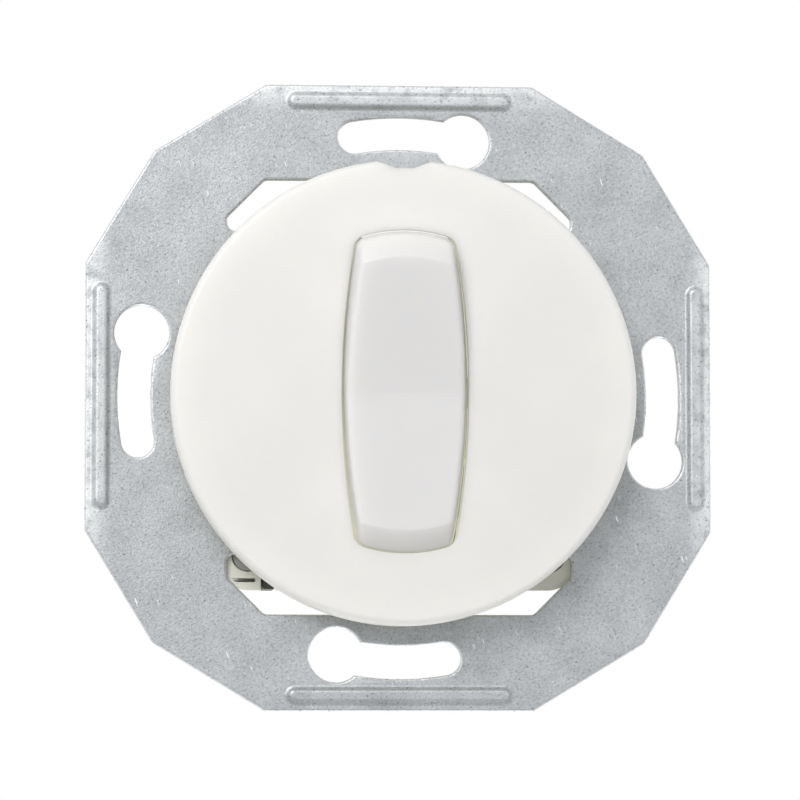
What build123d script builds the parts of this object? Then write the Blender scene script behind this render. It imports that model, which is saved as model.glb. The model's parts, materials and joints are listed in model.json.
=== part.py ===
"""A flush-mounted rocker light switch without its outer frame, in millimetres.

The origin is the centre of the mounting plate's back face. +Z is up and the front looks
along -Y, so heights are counted in front of the wall plane.
"""

import math
import os

from build123d import *

os.makedirs("parts", exist_ok=True)

# Mounting plate
plate_width = 71.0
plate_side_share = 0.4254
plate_reach_share = 0.3915
plate_thickness = 1.0
plate_corner_radius = 1.0
plate_edge_rounding = 0.3
window_width = 39.0
window_height = 49.2
window_chamfer = 4.25
window_corner_radius = 0.9
tab_gap = 33.0
tab_top = 18.8
tab_bottom = -17.9
bead_margin = 1.8
bead_length = 25.9
bead_width = 2.3
bead_rise = 0.6
bead_rounding = 0.58
bead_groove_width = 1.0
screw_circle_margin = 5.5
slot_width = 3.7
slot_end_angle = 9.8
keyhole_angle = 13.8
keyhole_diameter = 6.2

# Plastic body
body_width = 40.0
body_top = 18.2
body_bottom = -21.8
body_corner_radius = 3.0
body_split = -2.0
base_inset = 0.68
base_draft = 1.2
mechanism_half_width = 6.0
mechanism_half_height = 10.6
body_depth = 20.0
rear_wall = 1.6
moving_gap = 0.3
fit_gap = 0.05

# Rocker
rest_tilt = 4.0
pivot_height = 6.5
rocker_half_width = 7.0
rocker_side_radius = 94.0
rocker_end_radius = 18.16
rocker_end_centre = 3.0
rocker_corner_radius = 1.7
shoulder_height = 2.1
rocker_draft = 11.0
rocker_skirt = -1.4
ridge_distance = 15.15
ridge_height = 5.91
facet_height = 4.5
facet_steepening = 1.4
facet_bulge = 0.12
facet_length = 3.0
cap_wall = 1.4
cap_core_length = 15.4
cap_edge_rounding = 0.55
valley_radius = 5.0
trunnion_radius = 1.1
trunnion_end = 10.6
carrier_deck_thickness = 1.2
carrier_side_thickness = 1.3
carrier_side_length = 7.0
carrier_side_bottom = -1.8

# Cover
cover_radius = 26.0
cover_rim_bottom = 4.6
cover_rim_top = 9.5
cover_dome_top = 10.3
cover_wall = 1.5
cover_rim_rounding = 0.8
cover_inner_rounding = 0.5
cover_window_level = 9.84
window_side_gap = 0.12
window_end_gap = 0.2
window_lip = 0.7
collar_wall = 1.1
collar_bottom = 7.6
notch_width = 7.2
notch_floor_width = 2.1
notch_depth = 1.0
notch_rounding = 1.4
rib_thickness = 0.8
rib_depth = 1.1
rib_start = 10.0
rib_angles = (48, 68, 112, 132, 228, 248, 292, 312)
post_radius = 1.5
post_x = 21.5
post_z = 5.0
leg_width = 6.0
leg_thickness = 1.2
leg_inner = 14.6
barb_reach = 1.3
barb_height = 1.1

# Bearing cheeks
cheek_inner = 8.6
cheek_thickness = 2.8
cheek_half_length = 5.0
cheek_top = 8.2
cheek_flat = 2.4
cheek_flare_height = 5.6
cheek_rounding = 1.2
bearing_depth = 0.3
boss_half_width = 14.2
boss_half_height = 17.6
boss_wall = 1.5
boss_top = 2.4
mouth_half_width = 4.6
mouth_half_height = 5.6

# Contact mechanism
tip_centre_distance = 12.5
tip_radius = 0.9
plunger_radius = 1.6
plunger_top = -6.0
plunger_neck = -11.4
tube_radius = 2.7
tube_mouth = -10.0
tube_floor = 1.5
spring_radius = 1.2
spring_wire = 0.18
spring_turns = 7
bridge_pivot_height = -8.4
bridge_tilt = 12.0
bridge_arm = 8.6
bridge_width = 5.0
metal_thickness = 0.8
arm_height = 0.2
knife_edge_radius = 0.12
dish_radius = 1.4
dish_centre = 2.862
hump_height = 2.2
hump_half_length = 1.9
hump_foot = 3.2
ear_width = 0.6
ear_half_length = 2.6
ear_foot = -1.0
ear_foot_half_length = 2.0
ear_notch_half_length = 0.9
contact_distance = 7.0
contact_radius = 1.5
contact_tail_radius = 1.1
contact_tail = 0.35
contact_drop = 0.9
contact_dome_radius = 3.0
fixed_contact_top = -10.65
fixed_contact_z = 7.3
fixed_contact_thickness = 0.9
post_half_width = 3.2
post_foot = -15.0
knife_length = 1.37
pad_half = 1.9
column_x = (-5.6, -3.6)
band_front = -11.2
right_column_x = (3.6, 5.6)
right_band_front = -12.5
channel_gap = 0.3

# Wire clamps, laid out by their distance in from the body's edge
clamp_plate_inset = 2.2
clamp_plate_front = -5.5
clamp_half_width = 3.1
clamp_spring_inset = 8.6
clamp_spring_thickness = 0.4
clamp_touch_height = -9.0
clamp_bend_radius = 1.3
clamp_bend_room = 1.1
wire_hole_radius = 1.4
wire_hole_spread = 1.6
wire_hole_inset = 4.4
chamber_wall = 1.5
chamber_depth = 8.2
lever_offset = 4.0
left_unit_inset = 9.3
right_unit_inset = 8.0
lever_thickness = 1.2
lever_pivot_inset = 1.3
lever_pivot_height = -7.0
lever_pivot_radius = 1.1
lever_front = -0.3
lever_tab_inset = 0.1
lever_tail_height = -10.6
lever_tail_inset = 3.1
lever_pin_radius = 0.5
lever_pin_length = 0.9

# Fixings
housing_rivet_inset = 2.9
housing_rivet_edge = 3.8
housing_rivet_radius = 0.9
housing_pocket_radius = 1.8
edge_slot_size = (2.7, 0.45)
edge_slot_inset = (2.45, 1.08)
edge_slot_depth = 5.0
plate_rivet_inset = 1.7
plate_rivet_z = 10.5
plate_rivet_radius = 1.0
rivet_head_radius = 1.6
rivet_head_height = 0.5
plate_rivet_length = 7.0
rivet_bore_radius = 0.45
rivet_bore_depth = 5.0
housing_pocket_depth = 1.2

front = Plane.XZ
side = Plane((0, 0, 0), x_dir=(0, 0, 1), z_dir=(1, 0, 0))
cross = Plane((0, 0, 0), x_dir=(1, 0, 0), z_dir=(0, 0, -1))
body_middle = (body_top + body_bottom) / 2
body_height = body_top - body_bottom
body_back = -body_depth
half_plate = plate_width / 2
screw_circle_radius = half_plate - screw_circle_margin
bead_distance = half_plate - bead_margin
half_body = body_width / 2
left_unit_x = left_unit_inset - half_body
right_unit_x = half_body - right_unit_inset
housing_rivet_x = half_body - housing_rivet_inset
plate_rivet_x = half_body - plate_rivet_inset
chamber_back = body_back + rear_wall
clamp_bend_height = chamber_back + clamp_bend_radius + clamp_bend_room

tilt = math.radians(rest_tilt)
rocker_up = Vector(0, -math.sin(tilt), math.cos(tilt))
rocker_out = Vector(0, -math.cos(tilt), -math.sin(tilt))
pivot = Vector(0, -pivot_height, 0)
rocker_front = Plane(pivot, x_dir=(1, 0, 0), z_dir=rocker_out)
rocker_side = Plane(pivot, x_dir=rocker_up, z_dir=(1, 0, 0))

lean = math.radians(bridge_tilt)
bridge_up = Vector(0, math.sin(lean), math.cos(lean))
bridge_pivot = Vector(0, -bridge_pivot_height, 0)
bridge_side = Plane(bridge_pivot, x_dir=bridge_up, z_dir=(1, 0, 0))
bridge_front = Plane(bridge_pivot, x_dir=(1, 0, 0), z_dir=Vector(0, -math.cos(lean), math.sin(lean)))

valley_height = ridge_height - ridge_distance * math.tan(tilt)
level_above_pivot = cover_window_level - pivot_height
rocker_half_length = math.sqrt(rocker_end_radius**2 - level_above_pivot**2)
shoulder_half_length = math.sqrt(rocker_end_radius**2 - shoulder_height**2)


def finish_part(builder, name):
    """Label a finished piece and write it."""
    builder.part.label = name
    export_step(builder.part, f"parts/{name}.step")


def barrel(plane, grow, half_length, corner_radius):
    """Sketch the rocker's barrel outline, grown all round, with its end arcs."""
    half_width = rocker_half_width + grow
    side_radius = rocker_side_radius + grow
    end_radius = half_length - rocker_end_centre

    def side_x(z):
        return half_width - side_radius + math.sqrt(side_radius**2 - z**2)

    corner_z = rocker_end_centre + math.sqrt(end_radius**2 - side_x(half_length) ** 2)
    corner_x = side_x(corner_z)
    with BuildSketch(plane) as outline:
        with BuildLine():
            ThreePointArc((-corner_x, corner_z), (0, half_length), (corner_x, corner_z))
            ThreePointArc((corner_x, corner_z), (half_width, 0), (corner_x, -corner_z))
            ThreePointArc((corner_x, -corner_z), (0, -half_length), (-corner_x, -corner_z))
            ThreePointArc((-corner_x, -corner_z), (-half_width, 0), (-corner_x, corner_z))
        make_face()
        if corner_radius:
            fillet(outline.vertices(), corner_radius)
    return outline.sketch


def block(x_range, z_range, h_range, mode=Mode.ADD):
    """Add or cut a box given by its ranges across, up and out from the wall."""
    middle = ((x_range[0] + x_range[1]) / 2, (z_range[0] + z_range[1]) / 2)
    with BuildSketch(front.offset(h_range[0])) as footprint:
        with Locations(middle):
            Rectangle(x_range[1] - x_range[0], z_range[1] - z_range[0])
    extrude(footprint.sketch, amount=h_range[1] - h_range[0], mode=mode)


def disc(x, z, radius, h_range, mode=Mode.ADD):
    """Add or cut a round stud along the front axis."""
    with BuildSketch(front.offset(h_range[0])) as footprint:
        with Locations((x, z)):
            Circle(radius)
    extrude(footprint.sketch, amount=h_range[1] - h_range[0], mode=mode)


# Mounting plate: twelve-sided, punched, with four pressed stiffening beads
plate_long_side = plate_width * plate_side_share
plate_reach = plate_width * plate_reach_share
with BuildPart() as mounting_plate:
    corners = [
        (plate_long_side / 2, half_plate),
        (plate_reach, plate_reach),
        (half_plate, plate_long_side / 2),
    ]
    outline_points = []
    for quarter in range(4):
        outline_points += [Vector(*corner).rotate(Axis.Z, -90 * quarter) for corner in corners]
    with BuildSketch(front) as plate_outline:
        Polygon(*[(point.X, point.Y) for point in outline_points], align=None)
        fillet(plate_outline.vertices(), plate_corner_radius)
    extrude(amount=plate_thickness)
    with BuildSketch(front) as plate_window:
        Rectangle(window_width, window_height)
        chamfer(plate_window.vertices(), window_chamfer)
        tab_width = (window_width - tab_gap) / 2
        for turn in (-1, 1):
            with Locations((turn * (window_width - tab_width) / 2, (tab_top + tab_bottom) / 2)):
                Rectangle(tab_width, tab_top - tab_bottom, mode=Mode.SUBTRACT)
        fillet(plate_window.vertices(), window_corner_radius)
    extrude(amount=plate_thickness, mode=Mode.SUBTRACT)
    with BuildSketch(front):
        for quarter in range(4):
            with BuildLine():
                slot_start = 90 * quarter - keyhole_angle
                CenterArc((0, 0), screw_circle_radius, slot_start, keyhole_angle + slot_end_angle)
            trace(line_width=slot_width)
        with PolarLocations(screw_circle_radius, 4, start_angle=slot_end_angle):
            Circle(slot_width / 2)
        with PolarLocations(screw_circle_radius, 4, start_angle=-keyhole_angle):
            Circle(keyhole_diameter / 2)
    extrude(amount=plate_thickness, mode=Mode.SUBTRACT)
    with BuildSketch(front):
        for rivet_x in (-plate_rivet_x, plate_rivet_x):
            for rivet_z in (-plate_rivet_z, plate_rivet_z):
                with Locations((rivet_x, rivet_z)):
                    Circle(plate_rivet_radius)
    extrude(amount=plate_thickness, mode=Mode.SUBTRACT)
    fillet(mounting_plate.faces().sort_by(Axis.Y)[0].edges(), plate_edge_rounding)
    with BuildSketch(front.offset(plate_thickness)):
        with PolarLocations(bead_distance, 4):
            SlotOverall(bead_length, bead_width, rotation=90)
    extrude(amount=bead_rise)
    fillet(mounting_plate.faces().group_by(Axis.Y)[0].edges(), bead_rounding)
    with BuildSketch(front):
        with PolarLocations(bead_distance, 4):
            SlotOverall(bead_length - bead_width, bead_groove_width, rotation=90)
    extrude(amount=bead_rise, mode=Mode.SUBTRACT)
finish_part(mounting_plate, "mounting_plate")

# Cover: a domed dish on four posts, with a barrel-shaped window and two snap legs
with BuildPart() as cover_disc:
    with BuildSketch(cross) as cover_section:
        with BuildLine():
            rise = cover_dome_top - cover_rim_top
            dome_radius = (cover_radius**2 + rise**2) / (2 * rise)
            half_way = cover_radius / 2
            sag = dome_radius - math.sqrt(dome_radius**2 - half_way**2)
            inner_radius = cover_radius - cover_wall
            ThreePointArc(
                (0, cover_dome_top),
                (half_way, cover_dome_top - sag),
                (cover_radius, cover_rim_top),
            )
            Polyline(
                (cover_radius, cover_rim_top),
                (cover_radius, cover_rim_bottom),
                (inner_radius, cover_rim_bottom),
                (inner_radius, cover_rim_top - cover_wall),
            )
            ThreePointArc(
                (inner_radius, cover_rim_top - cover_wall),
                (half_way, cover_dome_top - sag - cover_wall),
                (0, cover_dome_top - cover_wall),
            )
            Line((0, cover_dome_top - cover_wall), (0, cover_dome_top))
        make_face()
        outer_corner = cover_section.vertices().sort_by_distance((cover_radius, cover_rim_top))[0]
        fillet(outer_corner, cover_rim_rounding)
        inner_shoulder = (inner_radius, cover_rim_top - cover_wall)
        inner_corner = cover_section.vertices().sort_by_distance(inner_shoulder)[0]
        fillet(inner_corner, cover_inner_rounding)
    revolve(axis=Axis.Y)
    window_half_length = rocker_half_length + window_end_gap
    collar = barrel(
        front.offset(collar_bottom),
        window_side_gap + collar_wall,
        window_half_length + collar_wall,
        rocker_corner_radius + collar_wall,
    )
    extrude(collar, amount=cover_rim_top - cover_wall / 2 - collar_bottom)
    with BuildSketch(front.offset(cover_rim_top - cover_wall - rib_depth)):
        rib_length = inner_radius - rib_start
        for angle in rib_angles:
            with PolarLocations(rib_start + rib_length / 2, 1, start_angle=angle):
                Rectangle(rib_length, rib_thickness)
    extrude(amount=rib_depth + cover_wall / 2)
    for post_side in (-1, 1):
        for post_end in (-1, 1):
            disc(
                post_side * post_x,
                post_end * post_z,
                post_radius,
                (plate_thickness, cover_rim_top - cover_wall / 2),
            )
        leg_middle = post_side * (leg_inner + leg_thickness / 2)
        leg_foot = -barb_height - fit_gap
        block(
            (leg_middle - leg_thickness / 2, leg_middle + leg_thickness / 2),
            (-leg_width / 2, leg_width / 2),
            (leg_foot, cover_rim_top - cover_wall / 2),
        )
        leg_face = post_side * (leg_inner + leg_thickness)
        with BuildSketch(cross):
            with BuildLine():
                Polyline(
                    (leg_face, -fit_gap),
                    (leg_face + post_side * barb_reach, -fit_gap),
                    (leg_face, leg_foot),
                    close=True,
                )
            make_face()
        extrude(amount=leg_width / 2, both=True)
    window = barrel(front, window_side_gap, window_half_length, rocker_corner_radius)
    extrude(window, amount=cover_dome_top + cover_wall, mode=Mode.SUBTRACT)
    relief = barrel(front, window_side_gap, window_half_length + window_end_gap, rocker_corner_radius)
    extrude(relief, amount=cover_window_level - window_lip, mode=Mode.SUBTRACT)
    trunnion_room = trunnion_radius + 2 * moving_gap
    block(
        (-trunnion_end, trunnion_end),
        (-trunnion_room, trunnion_room),
        (0, pivot_height + trunnion_room),
        mode=Mode.SUBTRACT,
    )
    with BuildSketch(front) as notch:
        with BuildLine():
            Polyline(
                (-notch_width / 2, cover_radius + notch_depth),
                (-notch_width / 2, cover_radius),
                (-notch_floor_width / 2, cover_radius - notch_depth),
                (notch_floor_width / 2, cover_radius - notch_depth),
                (notch_width / 2, cover_radius),
                (notch_width / 2, cover_radius + notch_depth),
                close=True,
            )
        make_face()
        floor_corners = notch.vertices().group_by(Axis.Y)[0]
        fillet(floor_corners, notch_rounding)
    extrude(amount=cover_dome_top, mode=Mode.SUBTRACT)
finish_part(cover_disc, "cover_disc")


def end_facet(turn):
    """Trim one end of the rocker's face to its curved, slightly bulging facet."""
    centre = pivot + rocker_up * (turn * rocker_end_centre)
    section_plane = Plane(centre, x_dir=(turn, 0, 0), z_dir=rocker_up * -turn)
    ridge = ridge_distance - rocker_end_centre
    facet_drop = (facet_height - shoulder_height) * math.tan(math.radians(rocker_draft))
    facet_end = shoulder_half_length - facet_drop - rocker_end_centre
    facet_slope = math.atan2(ridge_height - facet_height, facet_end - ridge)
    bulge_point = (
        (ridge + facet_end) / 2 + facet_bulge * math.sin(facet_slope),
        (ridge_height + facet_height) / 2 + facet_bulge * math.cos(facet_slope),
    )
    outer_drop = facet_length * math.tan(facet_slope * facet_steepening)
    facet_outer = (facet_end + facet_length, facet_height - outer_drop)
    with BuildSketch(section_plane) as trimming:
        with BuildLine():
            ThreePointArc((ridge, ridge_height), bulge_point, (facet_end, facet_height))
            Polyline(
                (facet_end, facet_height),
                facet_outer,
                (facet_outer[0], 2 * ridge_height),
                (ridge, 2 * ridge_height),
                (ridge, ridge_height),
            )
        make_face()
    revolve(trimming.sketch, axis=Axis(centre, rocker_out), revolution_arc=180, mode=Mode.SUBTRACT)


def below_the_v(drop):
    """Keep only what lies behind the rocker's V-shaped face, lowered by drop."""
    reach = shoulder_half_length + rocker_end_centre
    rise = reach * math.tan(tilt)
    with BuildSketch(rocker_side) as v_face:
        with BuildLine():
            Polyline(
                (-reach, 2 * rocker_skirt),
                (-reach, valley_height - drop + rise),
                (0, valley_height - drop),
                (reach, valley_height - drop + rise),
                (reach, 2 * rocker_skirt),
                close=True,
            )
        make_face()
        valley = v_face.vertices().sort_by_distance((0, valley_height - drop))[0]
        fillet(valley, valley_radius)
    extrude(v_face.sketch, amount=2 * rocker_half_width, both=True, mode=Mode.INTERSECT)


def is_face_edge(edge):
    """Tell whether an edge bounds the rocker's face or its end facets."""
    place = rocker_front.to_local_coords(edge.center())
    on_valley = abs(place.X) < fit_gap and abs(place.Y) < valley_radius
    return place.Z > facet_height - cap_edge_rounding and not on_valley


# Rocker cap: a barrel-shaped shell with a shallow V face
with BuildPart() as cap_core:
    core_outline = barrel(rocker_front.offset(2 * rocker_skirt), -cap_wall, cap_core_length, 0)
    extrude(core_outline, amount=3 * ridge_height)
    below_the_v(cap_wall)

with BuildPart() as rocker_cap:
    skirt = barrel(rocker_front.offset(rocker_skirt), 0, shoulder_half_length, rocker_corner_radius)
    extrude(skirt, amount=shoulder_height - rocker_skirt)
    shoulder = barrel(rocker_front.offset(shoulder_height), 0, shoulder_half_length, rocker_corner_radius)
    extrude(shoulder, amount=ridge_height, taper=rocker_draft)
    below_the_v(0)
    for turn in (-1, 1):
        end_facet(turn)
    face_edges = rocker_cap.edges().filter_by(is_face_edge)
    fillet(face_edges, cap_edge_rounding)
    add(cap_core.part, mode=Mode.SUBTRACT)
    slot_width_half = trunnion_radius + 2 * fit_gap
    with BuildSketch(rocker_side):
        Circle(slot_width_half)
        with Locations((0, rocker_skirt)):
            Rectangle(2 * slot_width_half, -2 * rocker_skirt)
    extrude(amount=2 * rocker_half_width, both=True, mode=Mode.SUBTRACT)
finish_part(rocker_cap, "rocker_cap")

# Rocker carrier: the cradle inside the cap, with its trunnions and the plunger's tube
carrier_top = valley_height - cap_wall
carrier_side = rocker_half_width - cap_wall - 2 * fit_gap
with BuildPart() as rocker_carrier:
    deck = barrel(
        rocker_front.offset(carrier_top - carrier_deck_thickness),
        -cap_wall - 2 * fit_gap,
        cap_core_length - 2 * fit_gap,
        0,
    )
    extrude(deck, amount=carrier_deck_thickness)
    for turn in (-1, 1):
        with BuildSketch(rocker_front.offset(carrier_side_bottom)):
            with Locations((turn * (carrier_side - carrier_side_thickness / 2), 0)):
                Rectangle(carrier_side_thickness, carrier_side_length)
        extrude(amount=carrier_top - carrier_deck_thickness - carrier_side_bottom)
        with BuildSketch(rocker_side.offset(turn * (carrier_side - carrier_side_thickness))):
            Circle(trunnion_radius)
        extrude(amount=turn * (trunnion_end - carrier_side + carrier_side_thickness))
    with BuildSketch(rocker_front.offset(tube_mouth)):
        Circle(tube_radius)
    extrude(amount=carrier_top - carrier_deck_thickness - tube_mouth)
    with BuildSketch(rocker_front.offset(carrier_top - 2 * carrier_deck_thickness)):
        Rectangle(metal_thickness, 2 * cap_core_length - 4 * carrier_deck_thickness)
        Rectangle(2 * carrier_side - carrier_side_thickness, metal_thickness)
    extrude(amount=carrier_deck_thickness)
    with BuildSketch(rocker_front.offset(tube_mouth)):
        Circle(plunger_radius + fit_gap)
    extrude(amount=tube_floor - tube_mouth, mode=Mode.SUBTRACT)
finish_part(rocker_carrier, "rocker_carrier")

# Plunger: a ball-ended pin, and the coil spring behind it
with BuildPart() as plunger:
    tip_diagonal = tip_radius * math.sqrt(0.5)
    with BuildSketch(rocker_side):
        with BuildLine():
            ThreePointArc(
                (0, -tip_centre_distance - tip_radius),
                (tip_diagonal, -tip_centre_distance - tip_diagonal),
                (tip_radius, -tip_centre_distance),
            )
            Polyline(
                (tip_radius, -tip_centre_distance),
                (plunger_radius, plunger_neck),
                (plunger_radius, plunger_top),
                (0, plunger_top),
                (0, -tip_centre_distance - tip_radius),
            )
        make_face()
    revolve(axis=Axis(pivot, rocker_out))
finish_part(plunger, "plunger")

with BuildPart() as plunger_spring:
    spring_height = tube_floor - plunger_top - 2 * spring_wire
    with BuildLine() as coil:
        Helix(
            spring_height / spring_turns,
            spring_height,
            spring_radius,
            center=pivot + rocker_out * (plunger_top + spring_wire),
            direction=rocker_out,
        )
    with BuildSketch(Plane(coil.line @ 0, z_dir=coil.line % 0)):
        Circle(spring_wire)
    sweep(is_frenet=True)
finish_part(plunger_spring, "plunger_spring")

# Contact bridge: a rocking strip with a dish for the plunger and two notched ears
arm_top = arm_height + metal_thickness
with BuildPart() as contact_bridge:
    dish_edge = math.sqrt(dish_radius**2 - (dish_centre - hump_height) ** 2)
    with BuildSketch(bridge_side):
        with BuildLine():
            ThreePointArc(
                (-dish_edge, hump_height),
                (0, dish_centre - dish_radius),
                (dish_edge, hump_height),
            )
            Polyline(
                (dish_edge, hump_height),
                (hump_half_length, hump_height),
                (hump_foot, arm_top),
                (bridge_arm, arm_top),
                (bridge_arm, arm_height),
                (hump_foot, arm_height),
                (hump_half_length, dish_centre - dish_radius - metal_thickness),
                (-hump_half_length, dish_centre - dish_radius - metal_thickness),
                (-hump_foot, arm_height),
                (-bridge_arm, arm_height),
                (-bridge_arm, arm_top),
                (-hump_foot, arm_top),
                (-hump_half_length, hump_height),
                (-dish_edge, hump_height),
            )
        make_face()
    extrude(amount=bridge_width / 2, both=True)
    for turn in (-1, 1):
        with BuildSketch(bridge_side.offset(turn * (bridge_width - ear_width) / 2)):
            with BuildLine():
                Polyline(
                    (-ear_half_length, arm_top),
                    (ear_half_length, arm_top),
                    (ear_foot_half_length, ear_foot),
                    (ear_notch_half_length, ear_foot),
                    (0, fit_gap),
                    (-ear_notch_half_length, ear_foot),
                    (-ear_foot_half_length, ear_foot),
                    close=True,
                )
            make_face()
            Circle(knife_edge_radius + fit_gap, mode=Mode.SUBTRACT)
        extrude(amount=ear_width / 2, both=True)
    with BuildSketch(bridge_front.offset(arm_height)):
        for turn in (-1, 1):
            with Locations((0, turn * contact_distance)):
                Circle(contact_radius / 2)
    extrude(amount=metal_thickness, mode=Mode.SUBTRACT)
finish_part(contact_bridge, "contact_bridge")


def rivet_profile(plane, centre, steps):
    """Add coaxial studs, each given by its radius and its range along the plane's normal."""
    for radius, low, high in steps:
        with BuildSketch(plane.offset(low)) as step:
            with Locations(centre):
                Circle(radius)
        extrude(step.sketch, amount=high - low)


with BuildPart() as moving_contacts:
    for turn in (-1, 1):
        rivet_profile(
            bridge_front,
            (0, turn * contact_distance),
            (
                (contact_radius, arm_height - contact_drop, arm_height),
                (contact_radius / 2, arm_height, arm_top),
                (contact_tail_radius, arm_top, arm_top + contact_tail),
            ),
        )
    with BuildSketch(bridge_side) as dome_limit:
        for turn in (-1, 1):
            with Locations((turn * contact_distance, arm_height - contact_drop + contact_dome_radius)):
                Circle(contact_dome_radius)
    extrude(amount=bridge_width, both=True, mode=Mode.INTERSECT)
finish_part(moving_contacts, "moving_contacts")

strip_top = fixed_contact_top - fixed_contact_thickness
strip_bottom = strip_top - metal_thickness
with BuildPart() as fixed_contacts:
    for turn in (-1, 1):
        rivet_profile(
            front,
            (0, turn * fixed_contact_z),
            (
                (contact_radius, strip_top, fixed_contact_top),
                (contact_radius / 2, strip_bottom, strip_top),
                (contact_tail_radius, strip_bottom - contact_tail, strip_bottom),
            ),
        )
finish_part(fixed_contacts, "fixed_contacts")


def inset(edge, low, high):
    """Turn two distances in from the body's lower or upper edge into a range of heights."""
    if edge < 0:
        return (edge + low, edge + high)
    return (edge - high, edge - low)


# Switched terminals: pad under the fixed contact, column to the edge and clamp plate
clamp_plate = (clamp_plate_inset, clamp_plate_inset + metal_thickness)
left_clamp_x = (left_unit_x - clamp_half_width, left_unit_x + clamp_half_width)


def switched_terminal(edge):
    """Add one switched terminal towards the given edge of the body."""
    turn = math.copysign(1, edge)
    plate_z = inset(edge, *clamp_plate)
    pad_z = (turn * fixed_contact_z - pad_half, turn * fixed_contact_z + pad_half)
    column_z = (min(pad_z[0], plate_z[0]), max(pad_z[1], plate_z[1]))
    block((column_x[0], pad_half), pad_z, (strip_bottom, strip_top))
    block(column_x, column_z, (strip_bottom, strip_top))
    block((left_clamp_x[0], column_x[1]), plate_z, (strip_bottom, band_front))
    block(left_clamp_x, plate_z, (strip_bottom, clamp_plate_front))
    disc(0, turn * fixed_contact_z, contact_radius / 2, (strip_bottom, strip_top), mode=Mode.SUBTRACT)


with BuildPart() as upper_terminal:
    switched_terminal(body_top)
finish_part(upper_terminal, "upper_terminal")

with BuildPart() as lower_terminal:
    switched_terminal(body_bottom)
finish_part(lower_terminal, "lower_terminal")

# Common terminal: knife-edge post under the bridge, foot strip and clamp plate
right_clamp_x = (right_unit_x - clamp_half_width, right_unit_x + clamp_half_width)
foot_bottom = post_foot - metal_thickness
with BuildPart() as common_terminal:
    with BuildSketch(side):
        with BuildLine():
            Polyline(
                (0, bridge_pivot_height),
                (metal_thickness / 2, bridge_pivot_height - knife_length),
                (metal_thickness / 2, foot_bottom),
                (-metal_thickness / 2, foot_bottom),
                (-metal_thickness / 2, bridge_pivot_height - knife_length),
                close=True,
            )
        make_face()
        with Locations((0, bridge_pivot_height)):
            Circle(knife_edge_radius)
    extrude(amount=post_half_width, both=True)
    plate_z = inset(body_bottom, *clamp_plate)
    block((-post_half_width, right_column_x[1]), (-pad_half, pad_half), (foot_bottom, post_foot))
    block(right_column_x, (plate_z[0], pad_half), (foot_bottom, post_foot))
    block((right_column_x[0], right_clamp_x[1]), plate_z, (foot_bottom, right_band_front))
    block(right_clamp_x, plate_z, (foot_bottom, clamp_plate_front))
finish_part(common_terminal, "common_terminal")


def unit_side(edge):
    """Profile plane with its first axis inward from the body's edge and its second outward."""
    inward = -math.copysign(1, edge)
    return Plane((0, 0, edge), x_dir=(0, 0, inward), z_dir=(inward, 0, 0))


def across(plane, x_range, sketch, mode=Mode.ADD):
    """Extrude a profile sketched on a unit's side plane over a range across the body."""
    direction = plane.z_dir.X
    extrude(sketch, amount=direction * (x_range[1] - x_range[0]), mode=mode)


def clamp_spring(unit_x, edge):
    """Add the bent leaf spring that presses the wires against the clamp plate."""
    plane = unit_side(edge)
    low_x = unit_x - lever_offset - lever_thickness / 2
    high_x = unit_x + clamp_half_width
    start = Plane(Vector(low_x, 0, edge), x_dir=plane.x_dir, z_dir=plane.z_dir)
    touch = clamp_plate[1] + clamp_spring_thickness / 2 + fit_gap
    bend_inner = clamp_spring_inset - 2 * clamp_bend_radius
    with BuildSketch(start) as leaf:
        with BuildLine():
            Line((clamp_spring_inset, clamp_plate_front), (clamp_spring_inset, clamp_bend_height))
            ThreePointArc(
                (clamp_spring_inset, clamp_bend_height),
                (clamp_spring_inset - clamp_bend_radius, clamp_bend_height - clamp_bend_radius),
                (bend_inner, clamp_bend_height),
            )
            Line((bend_inner, clamp_bend_height), (touch, clamp_touch_height))
        trace(line_width=clamp_spring_thickness)
    across(plane, (low_x, high_x), leaf.sketch)


def lever_pin(unit_x, edge, grow, mode):
    """Add a lever's hinge pin, or cut its socket when grown by a running clearance."""
    plane = unit_side(edge)
    high_x = unit_x - lever_offset - lever_thickness / 2
    low_x = high_x - lever_pin_length - grow
    start = Plane(Vector(low_x, 0, edge), x_dir=plane.x_dir, z_dir=plane.z_dir)
    with BuildSketch(start) as pin:
        with Locations((lever_pivot_inset, lever_pivot_height)):
            Circle(lever_pin_radius + grow)
    across(plane, (low_x, high_x), pin.sketch, mode)


def release_lever(unit_x, edge):
    """Add a lever that frees the wires: thumb tab, hub, tail and hinge pin."""
    plane = unit_side(edge)
    lever_x = unit_x - lever_offset
    low_x = lever_x - lever_thickness / 2
    start = Plane(Vector(low_x, 0, edge), x_dir=plane.x_dir, z_dir=plane.z_dir)
    with BuildSketch(start) as blade:
        with BuildLine():
            Polyline(
                (lever_tab_inset, lever_front),
                (lever_tab_inset + lever_thickness, lever_front),
                (lever_tab_inset + lever_thickness, lever_pivot_height),
                (lever_tail_inset, lever_tail_height),
                (lever_tail_inset - lever_thickness, lever_tail_height),
                (lever_tab_inset, lever_pivot_height),
                close=True,
            )
        make_face()
        with Locations((lever_pivot_inset, lever_pivot_height)):
            Circle(lever_pivot_radius)
    across(plane, (low_x, low_x + lever_thickness), blade.sketch)
    lever_pin(unit_x, edge, 0, Mode.ADD)


clamp_units = (
    ("upper", left_unit_x, body_top),
    ("lower", left_unit_x, body_bottom),
    ("common", right_unit_x, body_bottom),
)
for unit_name, unit_x, unit_edge in clamp_units:
    with BuildPart() as spring_leaf:
        clamp_spring(unit_x, unit_edge)
    finish_part(spring_leaf, f"clamp_spring_{unit_name}")
    with BuildPart() as lever:
        release_lever(unit_x, unit_edge)
    finish_part(lever, f"release_lever_{unit_name}")

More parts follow.
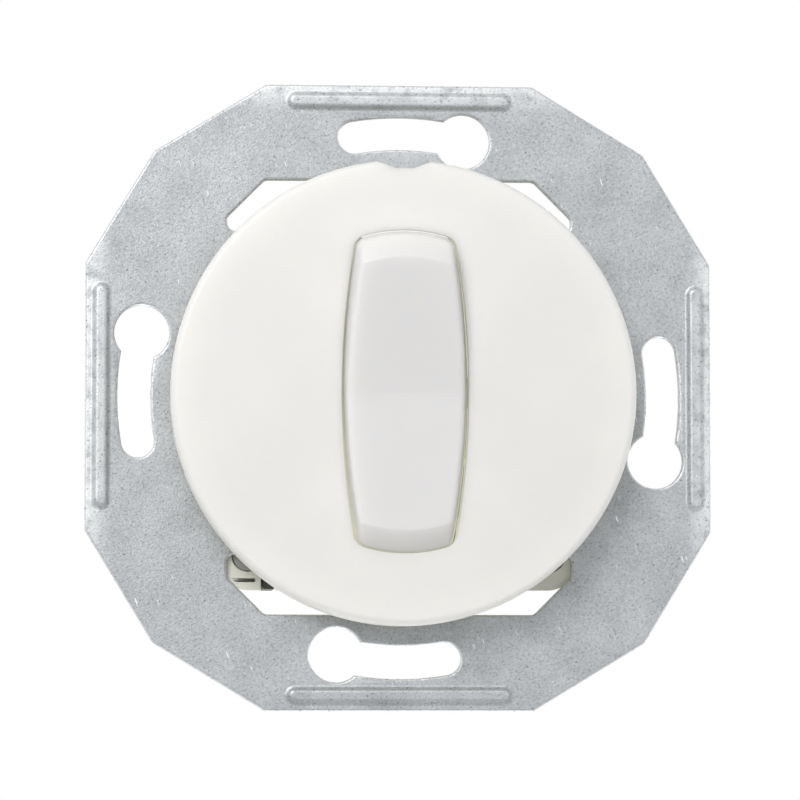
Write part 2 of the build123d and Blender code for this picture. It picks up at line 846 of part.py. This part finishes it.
housing_rivet_places = [
    (turn * housing_rivet_x, rivet_z)
    for turn in (-1, 1)
    for rivet_z in (body_bottom + housing_rivet_edge, body_top - housing_rivet_edge)
]
plate_rivet_places = [
    (turn * plate_rivet_x, end * plate_rivet_z) for turn in (-1, 1) for end in (-1, 1)
]

def body_outline(height, step_in):
    """Sketch the moulded body's rounded square at a height, stepped in all round."""
    with BuildSketch(front.offset(height)) as outline:
        with Locations((0, body_middle)):
            RectangleRounded(body_width - 2 * step_in, body_height - 2 * step_in, body_corner_radius)
    return outline.sketch


def cut_rivet_holes(low, high):
    """Cut the holes for the body's and the plate's rivets through a range of heights."""
    for x, z in housing_rivet_places:
        disc(x, z, housing_rivet_radius, (low, high), mode=Mode.SUBTRACT)
    for x, z in plate_rivet_places:
        rivet_foot = max(low, plate_thickness - plate_rivet_length)
        disc(x, z, plate_rivet_radius, (rivet_foot, high), mode=Mode.SUBTRACT)


def cut_lever_slots(low, high):
    """Cut the slots at the body's edges that the release levers swing in."""
    for unit_name, unit_x, unit_edge in clamp_units:
        lever_x = unit_x - lever_offset
        half_slot = lever_thickness / 2 + moving_gap
        slot_z = inset(unit_edge, -chamber_wall, lever_tail_inset + moving_gap)
        block((lever_x - half_slot, lever_x + half_slot), slot_z, (low, high), mode=Mode.SUBTRACT)


def cut_edge_slot(low, high):
    """Cut the narrow slot at the body's lower left corner through a range of heights."""
    with BuildSketch(front.offset(low)) as slot:
        with Locations((edge_slot_inset[0] - half_body, body_bottom + edge_slot_inset[1])):
            Rectangle(*edge_slot_size)
    extrude(slot.sketch, amount=high - low, mode=Mode.SUBTRACT)


# Front housing: flange under the plate, boss in the plate's window, bearing cheeks
leg_pocket_height = leg_width / 2 + moving_gap
with BuildPart() as front_housing:
    extrude(body_outline(body_split, 0), amount=-body_split)
    with BuildSketch(front):
        RectangleRounded(2 * boss_half_width, 2 * boss_half_height, body_corner_radius)
        RectangleRounded(
            2 * boss_half_width - 2 * boss_wall,
            2 * boss_half_height - 2 * boss_wall,
            body_corner_radius - boss_wall,
            mode=Mode.SUBTRACT,
        )
    extrude(amount=boss_top)
    for turn in (-1, 1):
        cheek_start = turn * cheek_inner if turn > 0 else turn * (cheek_inner + cheek_thickness)
        with BuildSketch(side.offset(cheek_start)) as cheek:
            with BuildLine():
                Polyline(
                    (-cheek_half_length, body_split / 2),
                    (-cheek_flat, cheek_flare_height),
                    (-cheek_flat, cheek_top),
                    (cheek_flat, cheek_top),
                    (cheek_flat, cheek_flare_height),
                    (cheek_half_length, body_split / 2),
                    close=True,
                )
            make_face()
            fillet(cheek.vertices().group_by(Axis.Y)[0], cheek_rounding)
        extrude(amount=cheek_thickness)
        with BuildSketch(side.offset(turn * cheek_inner)):
            with Locations((0, pivot_height)):
                Circle(trunnion_radius + fit_gap)
        extrude(amount=turn * (trunnion_end + bearing_depth - cheek_inner), mode=Mode.SUBTRACT)
        pocket_ends = (leg_inner - moving_gap, leg_inner + leg_thickness + barb_reach + moving_gap)
        pocket_x = sorted(turn * end for end in pocket_ends)
        block(pocket_x, (-leg_pocket_height, leg_pocket_height), (body_split, 0), mode=Mode.SUBTRACT)
    with BuildSketch(front.offset(body_split)):
        RectangleRounded(2 * mouth_half_width, 2 * mouth_half_height, cheek_rounding)
    extrude(amount=-body_split, mode=Mode.SUBTRACT)
    cut_rivet_holes(body_split, 0)
    cut_lever_slots(body_split, 0)
    for x, z in housing_rivet_places:
        disc(x, z, housing_pocket_radius, (-housing_pocket_depth, 0), mode=Mode.SUBTRACT)
    cut_edge_slot(body_split, 0)
finish_part(front_housing, "front_housing")

# Base housing: contact chamber, three clamp chambers, strip channels and wire entries
with BuildPart() as base_housing:
    extrude(body_outline(body_back, base_inset), amount=body_split - body_back, taper=-base_draft)
    chamfer(base_housing.faces().sort_by(Axis.Y)[-1].edges(), rear_wall / 4)
    block(
        (-mechanism_half_width, mechanism_half_width),
        (-mechanism_half_height, mechanism_half_height),
        (chamber_back, body_split),
        mode=Mode.SUBTRACT,
    )
    for unit_name, unit_x, unit_edge in clamp_units:
        chamber_left = unit_x - lever_offset - lever_thickness / 2 - moving_gap
        block(
            (chamber_left, unit_x + clamp_half_width + moving_gap),
            inset(unit_edge, chamber_wall, chamber_wall + chamber_depth),
            (chamber_back, body_split),
            mode=Mode.SUBTRACT,
        )
        for turn in (-1, 1):
            hole_z = inset(unit_edge, wire_hole_inset, wire_hole_inset)[0]
            hole_x = unit_x + turn * wire_hole_spread
            disc(hole_x, hole_z, wire_hole_radius, (body_back, chamber_back), mode=Mode.SUBTRACT)
    for edge in (body_bottom, body_top):
        plate_z = inset(edge, clamp_plate[0] - channel_gap, clamp_plate[1] + channel_gap)
        column_z = (min(plate_z[0], 0), max(plate_z[1], 0))
        column = (column_x[0] - channel_gap, column_x[1] + channel_gap)
        block(column, column_z, (strip_bottom - channel_gap, body_split), mode=Mode.SUBTRACT)
        channel_x = (left_clamp_x[0], column[1])
        block(channel_x, plate_z, (strip_bottom - channel_gap, body_split), mode=Mode.SUBTRACT)
    plate_z = inset(body_bottom, clamp_plate[0] - channel_gap, clamp_plate[1] + channel_gap)
    column = (right_column_x[0] - channel_gap, right_column_x[1] + channel_gap)
    block(column, (plate_z[0], 0), (foot_bottom - channel_gap, body_split), mode=Mode.SUBTRACT)
    channel_x = (column[0], right_clamp_x[1])
    block(channel_x, plate_z, (foot_bottom - channel_gap, body_split), mode=Mode.SUBTRACT)
    cut_rivet_holes(body_back, body_split)
    cut_edge_slot(-edge_slot_depth, body_split)
    for x, z in housing_rivet_places:
        disc(x, z, housing_pocket_radius, (body_back, body_back + housing_pocket_depth), mode=Mode.SUBTRACT)
    cut_lever_slots(lever_tail_height - lever_pin_radius, body_split)
    for unit_name, unit_x, unit_edge in clamp_units:
        lever_pin(unit_x, unit_edge, fit_gap, Mode.SUBTRACT)
finish_part(base_housing, "base_housing")

# Hollow rivets that hold the two housings together, and the plate's rivets
rivet_front_seat = -housing_pocket_depth
rivet_rear_seat = body_back + housing_pocket_depth
with BuildPart() as housing_rivets:
    for place in housing_rivet_places:
        rivet_profile(
            front,
            place,
            (
                (rivet_head_radius, rivet_front_seat, rivet_front_seat + rivet_head_height),
                (housing_rivet_radius, rivet_rear_seat, rivet_front_seat),
                (rivet_head_radius, rivet_rear_seat - rivet_head_height, rivet_rear_seat),
            ),
        )
        disc(*place, rivet_bore_radius, (-rivet_bore_depth, 0), mode=Mode.SUBTRACT)
finish_part(housing_rivets, "housing_rivets")

with BuildPart() as plate_rivets:
    for place in plate_rivet_places:
        rivet_profile(
            front,
            place,
            (
                (rivet_head_radius, plate_thickness, plate_thickness + rivet_head_height),
                (plate_rivet_radius, plate_thickness - plate_rivet_length, plate_thickness),
            ),
        )
finish_part(plate_rivets, "plate_rivets")
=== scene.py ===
import json
import math

import bmesh
import bpy
from mathutils import Matrix, Vector


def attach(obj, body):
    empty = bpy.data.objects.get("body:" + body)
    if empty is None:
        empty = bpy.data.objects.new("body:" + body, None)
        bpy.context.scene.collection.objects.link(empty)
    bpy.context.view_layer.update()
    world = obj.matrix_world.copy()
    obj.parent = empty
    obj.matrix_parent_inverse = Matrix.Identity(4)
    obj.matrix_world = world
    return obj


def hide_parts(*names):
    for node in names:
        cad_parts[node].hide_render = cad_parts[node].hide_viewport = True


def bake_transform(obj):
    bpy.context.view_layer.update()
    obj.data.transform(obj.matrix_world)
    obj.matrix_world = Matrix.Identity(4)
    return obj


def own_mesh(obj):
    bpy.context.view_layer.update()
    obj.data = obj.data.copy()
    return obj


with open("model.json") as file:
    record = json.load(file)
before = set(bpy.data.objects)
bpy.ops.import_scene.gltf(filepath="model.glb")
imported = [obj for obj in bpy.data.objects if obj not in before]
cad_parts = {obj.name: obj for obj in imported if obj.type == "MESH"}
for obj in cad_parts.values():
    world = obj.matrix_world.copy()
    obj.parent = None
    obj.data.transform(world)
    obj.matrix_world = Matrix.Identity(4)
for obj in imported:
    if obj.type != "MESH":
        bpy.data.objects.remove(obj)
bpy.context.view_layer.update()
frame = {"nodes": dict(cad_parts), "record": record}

millimetre = 0.001
print("frame loaded:", len(frame["nodes"]), "nodes")

# Camera: long lens, a little to the left of the switch and below it
photoCamera = {
    "distance": 0.5,
    "degreesLeft": 4.2,
    "degreesBelow": 4.2,
    "focalLength": 200.0,
    "sensorWidth": 36.0,
    "clipStart": 0.01,
    "aim": Vector((0.06, -1.0, -0.34)) * millimetre,
}


def makeCamera(settings):
    data = bpy.data.cameras.new("photoCamera")
    data.lens = settings["focalLength"]
    data.sensor_fit = "HORIZONTAL"
    data.sensor_width = settings["sensorWidth"]
    data.clip_start = settings["clipStart"]
    camera = bpy.data.objects.new("photoCamera", data)
    bpy.context.scene.collection.objects.link(camera)
    sideways = -math.tan(math.radians(settings["degreesLeft"]))
    upwards = -math.tan(math.radians(settings["degreesBelow"]))
    away = Vector((sideways, -1, upwards)) * settings["distance"]
    camera.location = settings["aim"] + away
    camera.rotation_euler = (-away).to_track_quat("-Z", "Y").to_euler()
    bpy.context.scene.camera = camera


makeCamera(photoCamera)
bpy.context.scene.view_settings.view_transform = "Standard"
print("camera placed")

# Room and floor: both light the switch as greys, but are seen as white
studio = {
    "ambient": (0.30, 0.30, 0.30, 1),
    "background": (1, 1, 1, 1),
    "floorLevel": -1.2,
    "floorRadius": 2.0,
    "floorSegments": 96,
    "floorColour": (0.5, 0.5, 0.5, 1),
    "floorGlow": 0.8,
}
# Lights: a large soft panel high on the left and a weak one on the right,
# with three more behind the plate that light its edges and the thin plastic
softPanels = {
    "keyPanel": {
        "place": (-0.66, -1.58, 0.80), "size": 0.9, "power": 25.7, "colour": (1, 0.985, 0.97)},
    "fillPanel": {
        "place": (0.90, -1.20, 0.10), "size": 1.0, "power": 2.4, "colour": (0.985, 0.99, 1)},
    "leftEdgePanel": {
        "place": (-1.0, 0.42, 0.0), "size": 0.6, "power": 1.5, "colour": (1, 1, 1)},
    "rightEdgePanel": {
        "place": (1.0, 0.42, 0.0), "size": 0.6, "power": 3.0, "colour": (1, 1, 1)},
    "lowerEdgePanel": {
        "place": (0.0, 0.42, -1.0), "size": 0.6, "power": 5.0, "colour": (1, 1, 1)},
}


def makePanel(name, settings):
    data = bpy.data.lights.new(name, "AREA")
    data.shape = "SQUARE"
    data.size = settings["size"]
    data.energy = settings["power"]
    data.color = settings["colour"]
    lamp = bpy.data.objects.new(name, data)
    bpy.context.scene.collection.objects.link(lamp)
    lamp.location = settings["place"]
    lamp.rotation_euler = (-lamp.location).to_track_quat("-Z", "Y").to_euler()


for panelName, panelSettings in softPanels.items():
    makePanel(panelName, panelSettings)


def addNode(tree, kind, settings=None, inputs=None):
    node = tree.nodes.new(kind)
    for name, value in (settings or {}).items():
        setattr(node, name, value)
    for name, value in (inputs or {}).items():
        if isinstance(value, bpy.types.NodeSocket):
            tree.links.new(value, node.inputs[name])
        else:
            node.inputs[name].default_value = value
    return node


def mathNode(tree, operation, *values, clamp=False):
    settings = {"operation": operation, "use_clamp": clamp}
    return addNode(tree, "ShaderNodeMath", settings, dict(enumerate(values))).outputs[0]


def rangeNode(tree, value, start, end, top=1.0):
    # 0 before start, rising to top at end
    return addNode(tree, "ShaderNodeMapRange", {"clamp": True}, {
        "Value": value, "From Min": start, "From Max": end, "To Max": top}).outputs[0]


def noiseNode(tree, place, scale, detail):
    return addNode(tree, "ShaderNodeTexNoise", inputs={
        "Vector": place, "Scale": scale, "Detail": detail}).outputs["Fac"]


def mixNode(tree, share, first, second):
    # Inputs 6 and 7 and output 2 are the node's colour sockets
    return addNode(tree, "ShaderNodeMix", {"data_type": "RGBA"}, {
        0: share, 6: first, 7: second}).outputs[2]


def seenRays(tree):
    path = addNode(tree, "ShaderNodeLightPath")
    direct = mathNode(
        tree, "MAXIMUM", path.outputs["Is Camera Ray"], path.outputs["Is Glossy Ray"])
    return mathNode(tree, "MAXIMUM", direct, path.outputs["Is Transmission Ray"])


def makeWorld(settings):
    world = bpy.data.worlds.new("studioWorld")
    world.use_nodes = True
    tree = world.node_tree
    tree.nodes.clear()
    room = addNode(tree, "ShaderNodeBackground", inputs={"Color": settings["ambient"]})
    seen = addNode(tree, "ShaderNodeBackground", inputs={"Color": settings["background"]})
    mix = addNode(tree, "ShaderNodeMixShader", inputs={
        0: seenRays(tree), 1: room.outputs[0], 2: seen.outputs[0]})
    addNode(tree, "ShaderNodeOutputWorld", inputs={"Surface": mix.outputs[0]})
    bpy.context.scene.world = world


def makeFloor(settings):
    mesh = bpy.data.meshes.new("studioFloor")
    shape = bmesh.new()
    bmesh.ops.create_circle(
        shape, cap_ends=True, segments=settings["floorSegments"], radius=settings["floorRadius"])
    bmesh.ops.translate(shape, verts=shape.verts, vec=(0, 0, settings["floorLevel"]))
    shape.to_mesh(mesh)
    shape.free()
    floor = bpy.data.objects.new("studioFloor", mesh)
    bpy.context.scene.collection.objects.link(floor)
    material = bpy.data.materials.new("floorPaint")
    material.use_nodes = True
    tree = material.node_tree
    tree.nodes.clear()
    paint = addNode(tree, "ShaderNodeBsdfDiffuse", inputs={"Color": settings["floorColour"]})
    level = mathNode(tree, "MULTIPLY", seenRays(tree), settings["floorGlow"])
    glow = addNode(tree, "ShaderNodeEmission", inputs={"Strength": level})
    both = addNode(tree, "ShaderNodeAddShader", inputs={0: paint.outputs[0], 1: glow.outputs[0]})
    addNode(tree, "ShaderNodeOutputMaterial", inputs={"Surface": both.outputs[0]})
    mesh.materials.append(material)


makeWorld(studio)
makeFloor(studio)
print("studio lit")


def newGroup(name, inputs, outputs):
    # Inputs that start as a tuple are colours, all others are numbers
    group = bpy.data.node_groups.new(name, "ShaderNodeTree")
    for socketName, value in inputs.items():
        kind = "NodeSocketColor" if isinstance(value, tuple) else "NodeSocketFloat"
        socket = group.interface.new_socket(socketName, in_out="INPUT", socket_type=kind)
        socket.default_value = value
    for socketName, kind in outputs.items():
        group.interface.new_socket(socketName, in_out="OUTPUT", socket_type=kind)
    given = group.nodes.new("NodeGroupInput").outputs
    result = group.nodes.new("NodeGroupOutput").inputs
    place = addNode(group, "ShaderNodeTexCoord").outputs["Object"]
    return group, given, result, place


grainDetail = {"clouds": 4.0, "grain": 2.0}


def makeGrainGroup():
    # Moulded plastic or rolled metal: slow clouds in the colour, fine grain in the surface
    group, given, result, place = newGroup(
        "surfaceGrain",
        {
            "Colour": (0.8, 0.8, 0.8, 1),
            "Shade": (0.7, 0.7, 0.7, 1),
            "Cloud Scale": 60.0,
            "Cloud Amount": 0.2,
            "Grain Scale": 4000.0,
            "Grain Amount": 0.1,
            "Roughness": 0.4,
            "Roughness Spread": 0.1,
        },
        {"Colour": "NodeSocketColor", "Roughness": "NodeSocketFloat", "Height": "NodeSocketFloat"},
    )
    clouds = noiseNode(group, place, given["Cloud Scale"], grainDetail["clouds"])
    grain = noiseNode(group, place, given["Grain Scale"], grainDetail["grain"])
    cloudShare = mathNode(group, "MULTIPLY", clouds, given["Cloud Amount"])
    grainShare = mathNode(group, "MULTIPLY", grain, given["Grain Amount"])
    share = mathNode(group, "ADD", cloudShare, grainShare, clamp=True)
    colour = mixNode(group, share, given["Colour"], given["Shade"])
    spread = mathNode(
        group, "MULTIPLY_ADD", clouds, given["Roughness Spread"], given["Roughness"])
    group.links.new(colour, result["Colour"])
    group.links.new(spread, result["Roughness"])
    group.links.new(grain, result["Height"])
    return group


scratchLines = {"scale": 1.0, "detail": 1.0, "fullLevel": 0.85}


def makeScratchGroup():
    # Few thin scratches, stretched across the sheet
    group, given, result, place = newGroup(
        "fineScratches",
        {"Length Scale": 40.0, "Width Scale": 1600.0, "Angle": 0.5, "Rarity": 0.68},
        {"Mask": "NodeSocketFloat"},
    )
    turned = addNode(group, "ShaderNodeVectorRotate", {"rotation_type": "Y_AXIS"}, {
        "Vector": place, "Angle": given["Angle"]}).outputs[0]
    stretch = addNode(group, "ShaderNodeCombineXYZ", inputs={
        0: given["Length Scale"], 1: given["Length Scale"], 2: given["Width Scale"]})
    stretched = addNode(group, "ShaderNodeVectorMath", {"operation": "MULTIPLY"}, {
        0: turned, 1: stretch.outputs[0]}).outputs[0]
    lines = noiseNode(group, stretched, scratchLines["scale"], scratchLines["detail"])
    mask = rangeNode(group, lines, given["Rarity"], scratchLines["fullLevel"])
    group.links.new(mask, result["Mask"])
    return group


def makePaintedGlowGroup():
    # Painted glow that stands in for light coming through the white plastic: emission behind
    #     # the cover's face, in the gaps, and a painted highlight out at its rim
    group, given, result, place = newGroup(
        "paintedGapGlow",
        {
            "Face": -0.0095,
            "Depth": 0.0005,
            "Amount": 0.3,
            "Rim Start": 0.022,
            "Rim End": 0.026,
            "Rim Glow Amount": 0.1,
        },
        {"Mask": "NodeSocketFloat"},
    )
    outwards = addNode(group, "ShaderNodeSeparateXYZ", inputs={0: place}).outputs["Y"]
    flat = addNode(group, "ShaderNodeVectorMath", {"operation": "MULTIPLY"}, {
        0: place, 1: (1, 0, 1)}).outputs[0]
    radius = addNode(group, "ShaderNodeVectorMath", {"operation": "LENGTH"}, {
        0: flat}).outputs["Value"]
    paintedRimGlow = rangeNode(group, radius, given["Rim Start"], given["Rim End"], given["Rim Glow Amount"])
    deepest = mathNode(group, "ADD", given["Face"], given["Depth"])
    paintedGapGlowShare = rangeNode(group, outwards, given["Face"], deepest, given["Amount"])
    group.links.new(mathNode(group, "MAXIMUM", paintedGapGlowShare, paintedRimGlow), result["Mask"])
    return group


sheenAndWearPatches = {"detail": 3.0, "start": 0.30, "end": 0.55, "sheetBack": -0.00002}


def makeSheenAndWearGroup():
    # Brighter metal in patches along the sheet's left, right and upper strips, partly bare metal
    #     # from wear and partly painted sheen, and a painted highlight all along its punched edges
    group, given, result, place = newGroup(
        "edgeSheenAndWear",
        {
            "Strip Start": 0.0320,
            "Strip End": 0.0350,
            "Strip Amount": 0.7,
            "Face": -0.00099,
            "Edge": -0.00095,
            "Edge Highlight Amount": 0.9,
            "Patch Scale": 700.0,
        },
        {"Mask": "NodeSocketFloat"},
    )
    position = addNode(group, "ShaderNodeSeparateXYZ", inputs={0: place}).outputs
    sideways = mathNode(group, "ABSOLUTE", position["X"])
    reach = mathNode(group, "MAXIMUM", sideways, position["Z"])
    strip = rangeNode(
        group, reach, given["Strip Start"], given["Strip End"], given["Strip Amount"])
    patches = noiseNode(group, place, given["Patch Scale"], sheenAndWearPatches["detail"])
    patchShare = rangeNode(group, patches, sheenAndWearPatches["start"], sheenAndWearPatches["end"])
    stripSheenAndWear = mathNode(group, "MULTIPLY", strip, patchShare)
    edge = rangeNode(group, position["Y"], given["Face"], given["Edge"], given["Edge Highlight Amount"])
    inFront = mathNode(group, "LESS_THAN", position["Y"], sheenAndWearPatches["sheetBack"])
    paintedEdgeHighlight = mathNode(group, "MULTIPLY", edge, inFront)
    group.links.new(mathNode(group, "MAXIMUM", stripSheenAndWear, paintedEdgeHighlight), result["Mask"])
    return group


surfaceGrain = makeGrainGroup()
fineScratches = makeScratchGroup()
paintedGapGlow = makePaintedGlowGroup()
edgeSheenAndWear = makeSheenAndWearGroup()

# Finishes: each has its colours, its grain and what stays the same all over
finishes = {
    "galvanisedSteel": {
        "grain": {"Colour": (0.575, 0.605, 0.63, 1), "Shade": (0.15, 0.155, 0.16, 1),
                  "Cloud Scale": 240.0, "Cloud Amount": 0.42, "Grain Scale": 4400.0,
                  "Grain Amount": 0.56, "Roughness": 0.38, "Roughness Spread": 0.12},
        "fixed": {"Metallic": 0.6},
        "bump": {"Strength": 0.5, "Distance": 0.00004},
        # Painted sheen with wear on the strips, and a painted highlight along the punched edges
        "sheenAndWear": {"Strip Start": 0.0325, "Strip End": 0.0350, "Strip Amount": 0.7,
                 "Edge Highlight Amount": 0.85},
        "sheenAndWearColour": (0.69, 0.71, 0.72, 1),
        "scratches": {"Angle": 1.9, "Length Scale": 600.0, "Width Scale": 3800.0, "Rarity": 0.735},
        "scratchColour": (0.74, 0.76, 0.77, 1),
        "specks": {"Angle": 0.4, "Length Scale": 3000.0, "Width Scale": 4200.0, "Rarity": 0.58},
        "speckColour": (0.10, 0.11, 0.12, 1),
    },
    "whitePlastic": {
        "grain": {"Colour": (0.905, 0.90, 0.875, 1), "Shade": (0.88, 0.875, 0.85, 1),
                  "Cloud Scale": 90.0, "Cloud Amount": 0.4, "Grain Scale": 2500.0,
                  "Grain Amount": 0.15, "Roughness": 0.34, "Roughness Spread": 0.06},
        "fixed": {"IOR": 1.5, "Specular IOR Level": 0.25, "Subsurface Weight": 1.0,
                  "Subsurface Scale": 0.0025, "Subsurface Radius": (1.0, 1.0, 0.9)},
        "bump": {"Strength": 0.04, "Distance": 0.00002},
        # Painted glow: olive emission in the gaps and a painted highlight at the cover's rim
        "paintedGlow": {"Face": -0.0092, "Depth": 0.0006, "Amount": 0.42, "Rim Glow Amount": 0.09},
        "paintedGlowColour": (0.33, 0.325, 0.25, 1),
    },
    "bodyPlastic": {
        "grain": {"Colour": (0.80, 0.80, 0.745, 1), "Shade": (0.74, 0.74, 0.68, 1),
                  "Cloud Scale": 120.0, "Cloud Amount": 0.35, "Grain Scale": 3600.0,
                  "Grain Amount": 0.3, "Roughness": 0.52, "Roughness Spread": 0.12},
        "fixed": {"IOR": 1.5},
        "bump": {"Strength": 0.2, "Distance": 0.00003},
    },
    "darkPlastic": {
        "grain": {"Colour": (0.045, 0.052, 0.035, 1), "Shade": (0.03, 0.035, 0.025, 1),
                  "Cloud Scale": 150.0, "Cloud Amount": 0.4, "Grain Scale": 3600.0,
                  "Grain Amount": 0.4, "Roughness": 0.42, "Roughness Spread": 0.15},
        "fixed": {"IOR": 1.5},
        "bump": {"Strength": 0.2, "Distance": 0.00003},
    },
    "stampedBrass": {
        "grain": {"Colour": (0.80, 0.60, 0.28, 1), "Shade": (0.60, 0.42, 0.18, 1),
                  "Cloud Scale": 160.0, "Cloud Amount": 0.5, "Grain Scale": 5200.0,
                  "Grain Amount": 0.3, "Roughness": 0.30, "Roughness Spread": 0.15},
        "fixed": {"Metallic": 1.0},
        "bump": {"Strength": 0.15, "Distance": 0.00002},
        "scratches": {"Angle": 0.2},
        "scratchColour": (0.90, 0.72, 0.40, 1),
    },
    "silverContact": {
        "grain": {"Colour": (0.88, 0.87, 0.84, 1), "Shade": (0.70, 0.68, 0.64, 1),
                  "Cloud Scale": 300.0, "Cloud Amount": 0.5, "Grain Scale": 5200.0,
                  "Grain Amount": 0.2, "Roughness": 0.22, "Roughness Spread": 0.15},
        "fixed": {"Metallic": 1.0},
        "bump": {"Strength": 0.1, "Distance": 0.00002},
    },
    "springSteel": {
        "grain": {"Colour": (0.33, 0.33, 0.32, 1), "Shade": (0.23, 0.23, 0.22, 1),
                  "Cloud Scale": 200.0, "Cloud Amount": 0.5, "Grain Scale": 5200.0,
                  "Grain Amount": 0.3, "Roughness": 0.28, "Roughness Spread": 0.15},
        "fixed": {"Metallic": 1.0},
        "bump": {"Strength": 0.1, "Distance": 0.00002},
        "scratches": {"Angle": 1.2},
        "scratchColour": (0.78, 0.78, 0.77, 1),
    },
}
# Laid over the grain in this order, where a finish has them
colourMarks = (
    ("sheenAndWear", edgeSheenAndWear, "sheenAndWearColour"),
    ("scratches", fineScratches, "scratchColour"),
    ("specks", fineScratches, "speckColour"),
)


def makeFinish(name, settings):
    material = bpy.data.materials.new(name)
    material.use_nodes = True
    tree = material.node_tree
    tree.nodes.clear()
    shader = addNode(tree, "ShaderNodeBsdfPrincipled", inputs=settings["fixed"])
    grain = addNode(tree, "ShaderNodeGroup", {"node_tree": surfaceGrain}, settings["grain"])
    colour = grain.outputs["Colour"]
    # The sheen-and-wear mark paints sheen on the strips and a highlight along the punched edges
    for mark, group, markColour in colourMarks:
        if mark in settings:
            marks = addNode(tree, "ShaderNodeGroup", {"node_tree": group}, settings[mark])
            colour = mixNode(tree, marks.outputs["Mask"], colour, settings[markColour])
    # Painted glow: emission where the mask marks the gaps and the cover's rim
    if "paintedGlow" in settings:
        paintedGlowNode = addNode(tree, "ShaderNodeGroup", {"node_tree": paintedGapGlow}, settings["paintedGlow"])
        tree.links.new(paintedGlowNode.outputs["Mask"], shader.inputs["Emission Strength"])
        shader.inputs["Emission Color"].default_value = settings["paintedGlowColour"]
    bump = addNode(tree, "ShaderNodeBump", inputs={
        "Height": grain.outputs["Height"], **settings["bump"]})
    tree.links.new(colour, shader.inputs["Base Color"])
    tree.links.new(grain.outputs["Roughness"], shader.inputs["Roughness"])
    tree.links.new(bump.outputs["Normal"], shader.inputs["Normal"])
    addNode(tree, "ShaderNodeOutputMaterial", inputs={"Surface": shader.outputs[0]})
    return material


materials = {name: makeFinish(name, settings) for name, settings in finishes.items()}
print("finishes mixed:", len(materials))

slotFinish = {
    "steel_plate": "galvanisedSteel",
    "white_plastic": "whitePlastic",
    "body_plastic": "bodyPlastic",
    "dark_plastic": "darkPlastic",
    "brass": "stampedBrass",
    "silver_contact": "silverContact",
    "spring_steel": "springSteel",
}
nodeSlot = {part["node"]: part["material_slot"] for part in frame["record"]["subparts"]}
nodeBody = {
    node: body
    for body, nodes in frame["record"]["behaviour"]["bodies"].items()
    for node in nodes
}

smoothing = {"mergeDistance": 0.000001, "sharpAngle": math.radians(24)}
quarterTurn = math.pi / 2

pressedBead = {
    "distance": 33.7 * millimetre,
    "length": 25.9 * millimetre,
    "width": 2.3 * millimetre,
    "rise": 0.38 * millimetre,
    "crestShare": 0.32,
    "plateFace": 1.0 * millimetre,
    "sunk": 0.002 * millimetre,
    "columns": 24,
    "rows": 200,
}


def flattenBeads(shape, settings):
    # The plate's own beads go under its face, where the rounded ones take their place
    for vert in shape.verts:
        if -vert.co.y > settings["plateFace"] + smoothing["mergeDistance"]:
            vert.co.y = settings["sunk"] - settings["plateFace"]


def makeBead(quarter, settings):
    # A pressed ridge with a broad crest that runs out softly into the plate, from a unit grid
    mesh = bpy.data.meshes.new("pressedBead")
    shape = bmesh.new()
    bmesh.ops.create_grid(
        shape, x_segments=settings["columns"], y_segments=settings["rows"], size=0.5)
    straight = (settings["length"] - settings["width"]) / 2
    for vert in shape.verts:
        across = vert.co.x * settings["width"]
        along = vert.co.y * settings["length"]
        beyond = max(abs(along) - straight, 0)
        reach = min(math.hypot(across, beyond) / (settings["width"] / 2), 1)
        slope = min((1 - reach) / (1 - settings["crestShare"]), 1)
        lift = settings["rise"] * math.sin(slope * quarterTurn) ** 2
        crest = settings["plateFace"] + lift - (settings["sunk"] if reach == 1 else 0)
        vert.co = Vector((settings["distance"] + across, -crest, along))
    turn = Matrix.Rotation(quarter * quarterTurn, 3, "Y")
    bmesh.ops.rotate(shape, verts=shape.verts, cent=(0, 0, 0), matrix=turn)
    bmesh.ops.recalc_face_normals(shape, faces=shape.faces)
    for face in shape.faces:
        face.smooth = True
        if face.normal.y > 0:
            face.normal_flip()
    shape.to_mesh(mesh)
    shape.free()
    bead = bpy.data.objects.new(f"pressedBead_{quarter}", mesh)
    bpy.context.scene.collection.objects.link(bead)
    mesh.materials.append(materials["galvanisedSteel"])
    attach(bead, nodeBody["mounting_plate"])


# Springs: the clamp springs are left unattached, their place baked into their meshes, and the
# # plunger's spring gets a mesh of its own; the table gives each clamp spring's lever, and its
# # back and tip as shares of the spring's height
springArms = {
    "clamp_spring_upper": {"lever": "lever_upper", "back": 0.0, "tip": 1.0},
    "clamp_spring_lower": {"lever": "lever_lower", "back": 1.0, "tip": 0.0},
    "clamp_spring_common": {"lever": "lever_common", "back": 1.0, "tip": 0.0},
}


def seatPiece(piece, node):
    if node in springArms:
        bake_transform(piece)
        return
    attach(piece, nodeBody[node])
    if node == "plunger_spring":
        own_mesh(piece)


def smoothPiece(node):
    # A merged copy of a CAD node, so that its round faces shade as round
    mesh = frame["nodes"][node].data.copy()
    mesh.name = node + "_smooth"
    shape = bmesh.new()
    shape.from_mesh(mesh)
    bmesh.ops.remove_doubles(shape, verts=shape.verts, dist=smoothing["mergeDistance"])
    if node == "mounting_plate":
        flattenBeads(shape, pressedBead)
    for face in shape.faces:
        face.smooth = True
    for edge in shape.edges:
        if len(edge.link_faces) != 2 or edge.calc_face_angle(0) > smoothing["sharpAngle"]:
            edge.smooth = False
    shape.to_mesh(mesh)
    shape.free()
    piece = bpy.data.objects.new(node + "_smooth", mesh)
    bpy.context.scene.collection.objects.link(piece)
    weighted = piece.modifiers.new("weightedNormals", "WEIGHTED_NORMAL")
    weighted.keep_sharp = True
    mesh.materials.clear()
    mesh.materials.append(materials[slotFinish[nodeSlot[node]]])
    seatPiece(piece, node)
    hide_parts(node)


for node in frame["nodes"]:
    smoothPiece(node)
for quarter in range(4):
    makeBead(quarter, pressedBead)
print("pieces smoothed and beads pressed")
